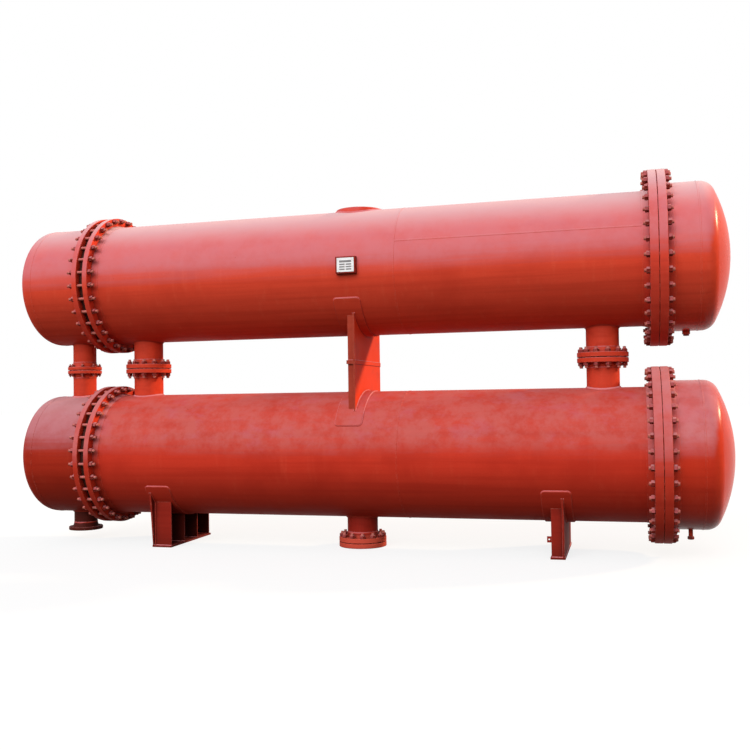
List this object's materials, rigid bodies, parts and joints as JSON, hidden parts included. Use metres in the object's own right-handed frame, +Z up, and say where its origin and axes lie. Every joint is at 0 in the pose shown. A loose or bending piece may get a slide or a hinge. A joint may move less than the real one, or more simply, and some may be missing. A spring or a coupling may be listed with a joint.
{
  "type": "shell and tube heat exchanger",
  "caption": "Stacked pair of horizontal shell and tube heat exchangers with bolted bonnets, larger dished covers, joining nozzles, saddles and a drilled connection pad on top.",
  "frame": {"origin": "on the ground under the middle of the overall length, on the centre plane of both shells", "axes": "+X along the shells from the bonnets to the dished covers, +Y across to the far side, +Z up"},
  "size_m": [6.456, 1.46, 3.188],
  "materials": {
    "red_primer": "semi-gloss iron oxide primer",
    "tubesheet_steel": "dull machined edge",
    "gasket": "matt"
  },
  "bodies": {
    "root": {"bottom_companion_flange": "red_primer", "bottom_nozzle": "red_primer", "channel_outlet_nozzle": "red_primer", "earthing_lug": "red_primer", "left_saddle": "red_primer", "left_saddle_pad": "red_primer", "lower_channel_barrel": "red_primer", "lower_channel_flange": "red_primer", "lower_channel_head": "red_primer", "lower_channel_nozzle": "red_primer", "lower_cover_barrel": "red_primer", "lower_cover_drain": "red_primer", "lower_cover_flange": "red_primer", "lower_cover_gasket": "gasket", "lower_cover_head": "red_primer", "lower_front_shell_flange": "red_primer", "lower_left_shell_nozzle": "red_primer", "lower_rear_shell_flange": "red_primer", "lower_right_shell_nozzle": "red_primer", "lower_shell": "red_primer", "lower_support": "red_primer", "lower_support_pad": "red_primer", "lower_tubesheet": "tubesheet_steel", "lower_tubesheet_gaskets": "gasket", "nameplate_bracket": "red_primer", "right_saddle": "red_primer", "right_saddle_pad": "red_primer", "top_pad_flange": "red_primer", "upper_channel_barrel": "red_primer", "upper_channel_flange": "red_primer", "upper_channel_head": "red_primer", "upper_channel_nozzle": "red_primer", "upper_cover_barrel": "red_primer", "upper_cover_drain": "red_primer", "upper_cover_flange": "red_primer", "upper_cover_gasket": "gasket", "upper_cover_head": "red_primer", "upper_front_shell_flange": "red_primer", "upper_left_shell_nozzle": "red_primer", "upper_rear_shell_flange": "red_primer", "upper_right_shell_nozzle": "red_primer", "upper_shell": "red_primer", "upper_support": "red_primer", "upper_support_pad": "red_primer", "upper_tubesheet": "tubesheet_steel", "upper_tubesheet_gaskets": "gasket"}
  },
  "joints": []
}
